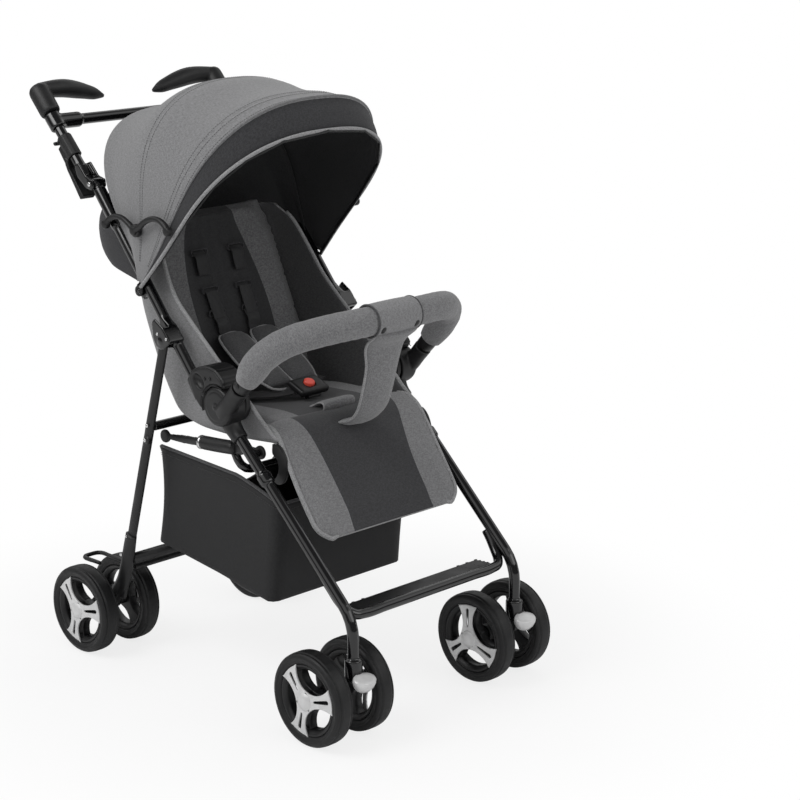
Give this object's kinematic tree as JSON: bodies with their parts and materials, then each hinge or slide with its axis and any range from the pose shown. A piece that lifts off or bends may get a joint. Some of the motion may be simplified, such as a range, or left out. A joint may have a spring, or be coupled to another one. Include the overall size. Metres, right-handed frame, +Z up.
{
  "type": "stroller",
  "caption": "Folding travel system stroller with twin-wheel feet, arched canopy, padded seat, bumper bar, calf rest and cloth basket under the seat.",
  "frame": {"origin": "on the ground under the centre of the bounding box", "axes": "+Z up, the stroller faces -Y, +X is its left side, X = 0 is the symmetry plane"},
  "size_m": [0.5122, 0.8048, 0.9744],
  "materials": {
    "gloss_frame": "gloss black paint",
    "matte_frame": "matte black paint",
    "black_plastic": "satin black",
    "silver_plastic": "satin silver",
    "tyre_rubber": "matte",
    "heather_fabric": "heather grey melange weave",
    "charcoal_fabric": "charcoal weave",
    "basket_fabric": "satin black nylon",
    "red_button": "satin"
  },
  "bodies": {
    "front_frame": {"front_leg_right": "gloss_frame", "front_leg_left": "gloss_frame", "fold_disc_right": "black_plastic", "fold_disc_left": "black_plastic", "footrest": "black_plastic"},
    "push_frame": {"push_tube_right": "gloss_frame", "push_tube_left": "gloss_frame", "fold_housing_right": "black_plastic", "fold_housing_left": "black_plastic", "canopy_cover": "heather_fabric"},
    "handle": {"handle_tube_right": "gloss_frame", "handle_tube_left": "gloss_frame", "grip_right": "black_plastic", "grip_left": "black_plastic", "handle_crossbar": "gloss_frame"},
    "rear_frame": {"rear_leg_right": "matte_frame", "rear_leg_left": "matte_frame", "rear_cross_tube": "gloss_frame", "rear_axle": "black_plastic"},
    "side_rails": {"side_rail_right": "black_plastic", "side_rail_left": "black_plastic", "rail_cross_tube": "gloss_frame", "seat_base": "charcoal_fabric", "basket": "basket_fabric", "buckle": "black_plastic"},
    "backrest": {"backrest": "heather_fabric", "harness": "charcoal_fabric"},
    "calf_rest": {"calf_rest": "heather_fabric"},
    "bumper_bar": {"bumper_bar": "heather_fabric"},
    "canopy_bow": {"canopy_front_bow": "black_plastic"},
    "brake": {"brake_bar": "black_plastic"},
    "buckle_button": {"buckle_button": "red_button"},
    "caster_right": {"caster_fork_right": "black_plastic"},
    "swivel_lock_right": {"swivel_lock_right": "silver_plastic"},
    "lock_sleeve_right": {"lock_sleeve_right": "black_plastic"},
    "bumper_button_right": {"bumper_button_right": "black_plastic"},
    "stay_rear_right": {"canopy_stay_rear_right": "black_plastic"},
    "stay_front_right": {"canopy_stay_front_right": "black_plastic"},
    "wheel_front_right_outer": {"rim_front_right_outer": "black_plastic", "tyre_front_right_outer": "tyre_rubber"},
    "wheel_front_right_inner": {"rim_front_right_inner": "black_plastic", "tyre_front_right_inner": "tyre_rubber"},
    "wheel_rear_right_outer": {"rim_rear_right_outer": "black_plastic", "tyre_rear_right_outer": "tyre_rubber"},
    "wheel_rear_right_inner": {"rim_rear_right_inner": "black_plastic", "tyre_rear_right_inner": "tyre_rubber"},
    "caster_left": {"caster_fork_left": "black_plastic"},
    "swivel_lock_left": {"swivel_lock_left": "silver_plastic"},
    "lock_sleeve_left": {"lock_sleeve_left": "black_plastic"},
    "bumper_button_left": {"bumper_button_left": "black_plastic"},
    "stay_rear_left": {"canopy_stay_rear_left": "black_plastic"},
    "stay_front_left": {"canopy_stay_front_left": "black_plastic"},
    "wheel_front_left_outer": {"rim_front_left_outer": "black_plastic", "tyre_front_left_outer": "tyre_rubber"},
    "wheel_front_left_inner": {"rim_front_left_inner": "black_plastic", "tyre_front_left_inner": "tyre_rubber"},
    "wheel_rear_left_outer": {"rim_rear_left_outer": "black_plastic", "tyre_rear_left_outer": "tyre_rubber"},
    "wheel_rear_left_inner": {"rim_rear_left_inner": "black_plastic", "tyre_rear_left_inner": "tyre_rubber"}
  },
  "joints": [
    {"name": "frame_fold", "type": "hinge", "parent": "front_frame", "child": "push_frame", "pos_m": [0, -0.0777, 0.48884], "axis": [-1, 0, 0], "range_deg": [0, 105], "deforming": ["canopy_cover", "basket"]},
    {"name": "rear_leg_fold", "type": "hinge", "parent": "push_frame", "child": "rear_frame", "pos_m": [0, 0.0583, 0.57085], "axis": [1, 0, 0], "range_deg": [0, 59.76]},
    {"name": "side_rail_fold", "type": "hinge", "parent": "front_frame", "child": "side_rails", "pos_m": [0, -0.1287, 0.41585], "axis": [-1, 0, 0], "range_deg": [0, 84.72]},
    {"name": "handle_fold", "type": "hinge", "parent": "push_frame", "child": "handle", "pos_m": [0, 0.2433, 0.80285], "axis": [1, 0, 0], "range_deg": [0, 135]},
    {"name": "backrest_recline", "type": "hinge", "parent": "side_rails", "child": "backrest", "pos_m": [0, 0.0713, 0.44584], "axis": [1, 0, 0], "range_deg": [-28, 0]},
    {"name": "calf_rest_tilt", "type": "hinge", "parent": "front_frame", "child": "calf_rest", "pos_m": [0, -0.1637, 0.42385], "axis": [1, 0, 0], "range_deg": [-45, 0]},
    {"name": "canopy_fold", "type": "hinge", "parent": "push_frame", "child": "canopy_bow", "pos_m": [0, 0.1233, 0.64284], "axis": [1, 0, 0], "range_deg": [-50, 0], "deforming": ["canopy_cover"]},
    {"name": "bumper_release", "type": "slide", "parent": "front_frame", "child": "bumper_bar", "axis": [0, 0.6805, -0.7328], "range_m": [-0.047, 0]},
    {"name": "brake_pedal", "type": "hinge", "parent": "rear_frame", "child": "brake", "pos_m": [0, 0.1898, 0.15035], "axis": [-1, 0, 0], "range_deg": [0, 9]},
    {"name": "buckle_press", "type": "slide", "parent": "side_rails", "child": "buckle_button", "axis": [0, 0.3746, -0.9272], "range_m": [0, 0.0022], "stiffness_N_per_m": 600},
    {"name": "caster_swivel_right", "type": "hinge", "parent": "front_frame", "child": "caster_right", "pos_m": [-0.184, -0.3577, 0.10684], "axis": [0, 0, 1], "continuous": true},
    {"name": "swivel_lock_right", "type": "hinge", "parent": "caster_right", "child": "swivel_lock_right", "pos_m": [-0.184, -0.3762, 0.09735], "axis": [1, 0, 0], "range_deg": [0, 30]},
    {"name": "lock_slide_right", "type": "slide", "parent": "handle", "child": "lock_sleeve_right", "axis": [-0.0214, 0.6754, 0.7371], "range_m": [0, 0.012], "stiffness_N_per_m": 200},
    {"name": "bumper_press_right", "type": "slide", "parent": "bumper_bar", "child": "bumper_button_right", "axis": [1, 0, 0], "range_m": [0, 0.0017], "stiffness_N_per_m": 500},
    {"name": "stay_fold_right", "type": "hinge", "parent": "push_frame", "child": "stay_rear_right", "pos_m": [-0.2028, 0.1983, 0.74884], "axis": [-1, 0, 0], "range_deg": [-48.98, 0]},
    {"name": "stay_knuckle_right", "type": "hinge", "parent": "stay_rear_right", "child": "stay_front_right", "pos_m": [-0.206, 0.1253, 0.74484], "axis": [1, 0, 0], "range_deg": [-134.94, 0]},
    {"name": "spin_front_right_outer", "type": "hinge", "parent": "caster_right", "child": "wheel_front_right_outer", "pos_m": [-0.2278, -0.3137, 0.07484], "axis": [1, 0, 0], "continuous": true},
    {"name": "spin_front_right_inner", "type": "hinge", "parent": "caster_right", "child": "wheel_front_right_inner", "pos_m": [-0.1402, -0.3137, 0.07484], "axis": [1, 0, 0], "continuous": true},
    {"name": "spin_rear_right_outer", "type": "hinge", "parent": "rear_frame", "child": "wheel_rear_right_outer", "pos_m": [-0.2338, 0.2513, 0.07484], "axis": [1, 0, 0], "continuous": true},
    {"name": "spin_rear_right_inner", "type": "hinge", "parent": "rear_frame", "child": "wheel_rear_right_inner", "pos_m": [-0.1462, 0.2513, 0.07484], "axis": [1, 0, 0], "continuous": true},
    {"name": "caster_swivel_left", "type": "hinge", "parent": "front_frame", "child": "caster_left", "pos_m": [0.184, -0.3577, 0.10684], "axis": [0, 0, 1], "continuous": true},
    {"name": "swivel_lock_left", "type": "hinge", "parent": "caster_left", "child": "swivel_lock_left", "pos_m": [0.184, -0.3762, 0.09735], "axis": [1, 0, 0], "range_deg": [0, 30]},
    {"name": "lock_slide_left", "type": "slide", "parent": "handle", "child": "lock_sleeve_left", "axis": [0.0214, 0.6754, 0.7371], "range_m": [0, 0.012], "stiffness_N_per_m": 200},
    {"name": "bumper_press_left", "type": "slide", "parent": "bumper_bar", "child": "bumper_button_left", "axis": [-1, 0, 0], "range_m": [0, 0.0017], "stiffness_N_per_m": 500},
    {"name": "stay_fold_left", "type": "hinge", "parent": "push_frame", "child": "stay_rear_left", "pos_m": [0.2028, 0.1983, 0.74884], "axis": [-1, 0, 0], "range_deg": [-48.98, 0]},
    {"name": "stay_knuckle_left", "type": "hinge", "parent": "stay_rear_left", "child": "stay_front_left", "pos_m": [0.206, 0.1253, 0.74484], "axis": [1, 0, 0], "range_deg": [-134.94, 0]},
    {"name": "spin_front_left_outer", "type": "hinge", "parent": "caster_left", "child": "wheel_front_left_outer", "pos_m": [0.2278, -0.3137, 0.07484], "axis": [1, 0, 0], "continuous": true},
    {"name": "spin_front_left_inner", "type": "hinge", "parent": "caster_left", "child": "wheel_front_left_inner", "pos_m": [0.1402, -0.3137, 0.07484], "axis": [1, 0, 0], "continuous": true},
    {"name": "spin_rear_left_outer", "type": "hinge", "parent": "rear_frame", "child": "wheel_rear_left_outer", "pos_m": [0.2338, 0.2513, 0.07484], "axis": [1, 0, 0], "continuous": true},
    {"name": "spin_rear_left_inner", "type": "hinge", "parent": "rear_frame", "child": "wheel_rear_left_inner", "pos_m": [0.1462, 0.2513, 0.07484], "axis": [1, 0, 0], "continuous": true}
  ],
  "couplings": [
    {"joint": "rear_leg_fold", "follows": "frame_fold", "ratio": 0.5644},
    {"joint": "side_rail_fold", "follows": "frame_fold", "ratio": 0.8021},
    {"joint": "stay_fold_right", "follows": "canopy_fold", "ratio": 0.97},
    {"joint": "stay_knuckle_right", "follows": "canopy_fold", "ratio": 2.672},
    {"joint": "stay_fold_left", "follows": "canopy_fold", "ratio": 0.97},
    {"joint": "stay_knuckle_left", "follows": "canopy_fold", "ratio": 2.672}
  ]
}
